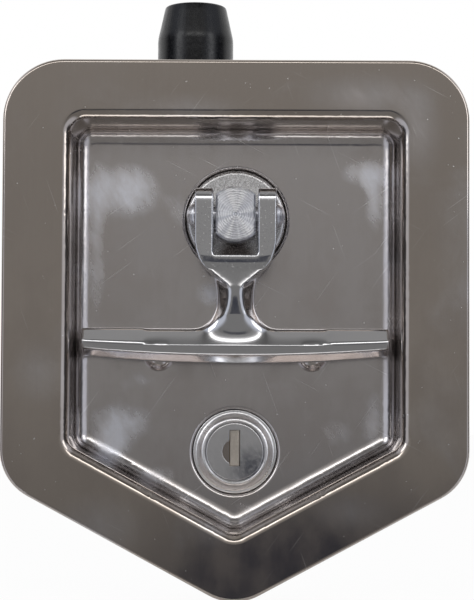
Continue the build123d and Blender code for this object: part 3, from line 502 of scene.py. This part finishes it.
materials = {
    "stainless_pan": stainlessMaterial(),
    "handle_chrome": chromeMaterial("handleChrome", (0.64, 0.64, 0.655), 0.09, 0.22,
                                    speckled=(-1.0 * mm, 0.2 * mm)),
    "lock_chrome": chromeMaterial("lockChrome", (0.84, 0.835, 0.84), 0.27, 0.02),
    "hub_steel": turnedMaterial("hubSteel", (0.60, 0.595, 0.60), 0.36, hubCentre),
    "plug_metal": plugMaterial(),
    "shutter_steel": platedMaterial("shutterSteel", (0.66, 0.60, 0.53), 0.42, 1900),
    "plated_steel": platedMaterial("platedSteel", (0.60, 0.60, 0.57), 0.32),
    "stud_steel": platedMaterial("studSteel", (0.58, 0.575, 0.56), 0.28),
    "spring_steel": platedMaterial("springSteel", (0.24, 0.25, 0.28), 0.3),
    "screw_steel": platedMaterial("screwSteel", (0.13, 0.13, 0.135), 0.36),
    "bush_bronze": platedMaterial("bushBronze", (0.50, 0.33, 0.16), 0.42, 1200),
    "wafer_brass": platedMaterial("waferBrass", (0.62, 0.46, 0.2), 0.3),
    "roller_plastic": plasticMaterial("rollerPlastic", (0.004, 0.0042, 0.0055), 0.24, 900, 0.008,
                                      gloss=0.35),
    "pad_plastic": plasticMaterial("padPlastic", (0.72, 0.70, 0.63), 0.5, 1200, 0.02),
    "gasket_rubber": plasticMaterial("gasketRubber", (0.02, 0.02, 0.02), 0.7, 1500, 0.04),
}
print("materials ready:", len(materials))

# Shapes


def finishPiece(name, mesh, body, slotName, normals=None):
    for face in mesh.polygons:
        face.use_smooth = True
    if normals:
        mesh.normals_split_custom_set(normals)
    piece = bpy.data.objects.new(name, mesh)
    bpy.context.scene.collection.objects.link(piece)
    mesh.materials.clear()
    mesh.materials.append(materials[slotName])
    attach(piece, body)
    return piece


def asMesh(bm, name):
    mesh = bpy.data.meshes.new(name)
    bm.to_mesh(mesh)
    bm.free()
    return mesh


def mergedCopy(node):
    bm = bmesh.new()
    bm.from_mesh(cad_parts[node].data)
    bmesh.ops.remove_doubles(bm, verts=bm.verts, dist=0.002 * mm)
    bm.normal_update()
    return bm


# Broad in square millimetres, compact as a share of its reach squared, level in radians, roundUpTo in degrees.
flats = {"broad": 30.0, "compact": 0.3, "level": 0.0006, "roundUpTo": 32}


def flatFaces(bm):
    # The faces that lie in a flat area, either broad (in square millimetres) or compact.
    flat, seen = set(), set()
    for start in bm.faces:
        if start in seen:
            continue
        members = [start]
        seen.add(start)
        for face in members:
            for edge in face.edges:
                if len(edge.link_faces) == 2 and edge.calc_face_angle() < flats["level"]:
                    for other in edge.link_faces:
                        if other not in seen:
                            seen.add(other)
                            members.append(other)
        area = sum(face.calc_area() for face in members)
        corners = [vert.co for face in members for vert in face.verts]
        reach = max((corner - corners[0]).length for corner in corners)
        if len(members) > 3 and area > min(flats["broad"] * mm * mm, flats["compact"] * reach * reach):
            flat.update(members)
    return flat


def cornerNormals(bm):
    # Flats keep their own direction out to the rim, and the rounds beside them start from it.
    flat = flatFaces(bm)
    limit = math.cos(math.radians(flats["roundUpTo"]))
    normals = []
    for face in bm.faces:
        for corner in face.loops:
            if face in flat:
                normals.append(face.normal.copy())
                continue
            near = [c for c in corner.vert.link_loops if c.face.normal.dot(face.normal) > limit]
            rims = [c for c in near if c.face in flat]
            total = Vector((0, 0, 0))
            for other in rims or near:
                total += other.face.normal * other.calc_angle()
            normals.append(total.normalized())
    return normals


plugEdge = {"round": 0.14, "reach": 5.2}


def roundPlugEdges(bm):
    # Worn edges round the keyway and the hollow in the plug's face.
    bmesh.ops.dissolve_limit(bm, angle_limit=0.002, verts=bm.verts, edges=bm.edges)
    front = min(v.co.y for v in bm.verts)
    rims = [e for e in bm.edges if len(e.link_faces) == 2 and e.calc_face_angle() > 1.2
            and all(abs(v.co.y - front) < 0.01 * mm for v in e.verts)
            and all(math.hypot(v.co.x, v.co.z - lockZ) < plugEdge["reach"] * mm for v in e.verts)]
    bmesh.ops.bevel(bm, geom=rims, offset=plugEdge["round"] * mm, offset_type="OFFSET", segments=3,
                    profile=0.5, affect="EDGES", material=-1)
    bmesh.ops.triangulate(bm, faces=bm.faces)
    bm.normal_update()


def dressNode(node, body, slotName):
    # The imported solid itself, merged and smoothed, with its finish.
    bm = mergedCopy(node)
    if node == "lock_plug":
        roundPlugEdges(bm)
    normals = cornerNormals(bm)
    piece = finishPiece(node + "_shown", asMesh(bm, node + "_shown"), body, slotName, normals)
    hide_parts(node)
    return piece


# Pan, hub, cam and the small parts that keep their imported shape
for node, body, slotName in (
    ("pan", "housing", "stainless_pan"), ("hub_bush", "housing", "bush_bronze"),
    ("lock_nut", "housing", "plated_steel"), ("lock_gasket", "housing", "gasket_rubber"),
    ("hub_spindle", "hub", "hub_steel"), ("hinge_pin", "hub", "hub_steel"), ("hub_pad", "hub", "pad_plastic"),
    ("disc_spring", "hub", "spring_steel"), ("stop_washer", "hub", "plated_steel"),
    ("cam_plate", "hub", "plated_steel"), ("cam_washer", "hub", "plated_steel"),
    ("cam_nut", "hub", "plated_steel"), ("roller_axle", "hub", "stud_steel"),
    ("roller_washer", "hub", "stud_steel"), ("lock_plug", "lock", "plug_metal"),
    ("wafers", "lock", "wafer_brass"), ("lock_cam", "lock", "plated_steel"),
    ("lock_cam_washer", "lock", "plated_steel"), ("lock_cam_screw", "lock", "screw_steel"),
    ("dust_shutter", "shutter", "shutter_steel"),
    ("lock_body", "housing", "lock_chrome"), ("cam_roller", "roller", "roller_plastic"),
    ("mounting_studs", "housing", "stud_steel"),
):
    dressNode(node, body, slotName)
print("packed parts dressed")

# Handle: one casting with softened edges, most of all round the neck
# Bands are (from, to) below the pin in millimetres, then the rounds of smoothing.
handle = {"grain": 0.3, "edges": 3, "grip": (28.0, 40.0, 6), "neck": (14.5, 31.0, 26),
          "foot": (26.4, 33.4, 60), "faces": [(11.1, 19.2, 60), (26.0, 33.8, 260)], "footHalf": 24}


def smoothBand(bm, points, rounds, alongX, alongY, alongZ):
    for step in range(rounds):
        bmesh.ops.smooth_vert(bm, verts=points, factor=0.5, use_axis_x=alongX, use_axis_y=alongY,
                              use_axis_z=alongZ)


def makeHandle():
    blank = bpy.data.objects.new("handleBlank", asMesh(mergedCopy("t_handle"), "handleBlank"))
    bpy.context.scene.collection.objects.link(blank)
    skin = blank.modifiers.new("skin", "REMESH")
    skin.mode = "VOXEL"
    skin.voxel_size = handle["grain"] * mm
    shape = blank.evaluated_get(bpy.context.evaluated_depsgraph_get())
    bm = bmesh.new()
    bm.from_mesh(bpy.data.meshes.new_from_object(shape))
    bpy.data.objects.remove(blank)
    smoothBand(bm, bm.verts, handle["edges"], True, True, True)
    for band in ("neck", "grip", "foot"):
        start, end, rounds = handle[band]
        points = [v for v in bm.verts if start * mm < pinZ - v.co.z < end * mm
                  and (band == "grip" or abs(v.co.x) < handle["footHalf"] * mm)]
        smoothBand(bm, points, rounds, True, True, True)
    bm.normal_update()
    for start, end, rounds in handle["faces"]:
        points = [v for v in bm.verts if start * mm < pinZ - v.co.z < end * mm and v.normal.y < -0.7
                  and abs(v.co.x) < handle["footHalf"] * mm]
        smoothBand(bm, points, rounds, False, True, False)
    piece = finishPiece("tHandle", asMesh(bm, "tHandle"), "handle", "handle_chrome")
    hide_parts("t_handle")


makeHandle()
print("handle ready")
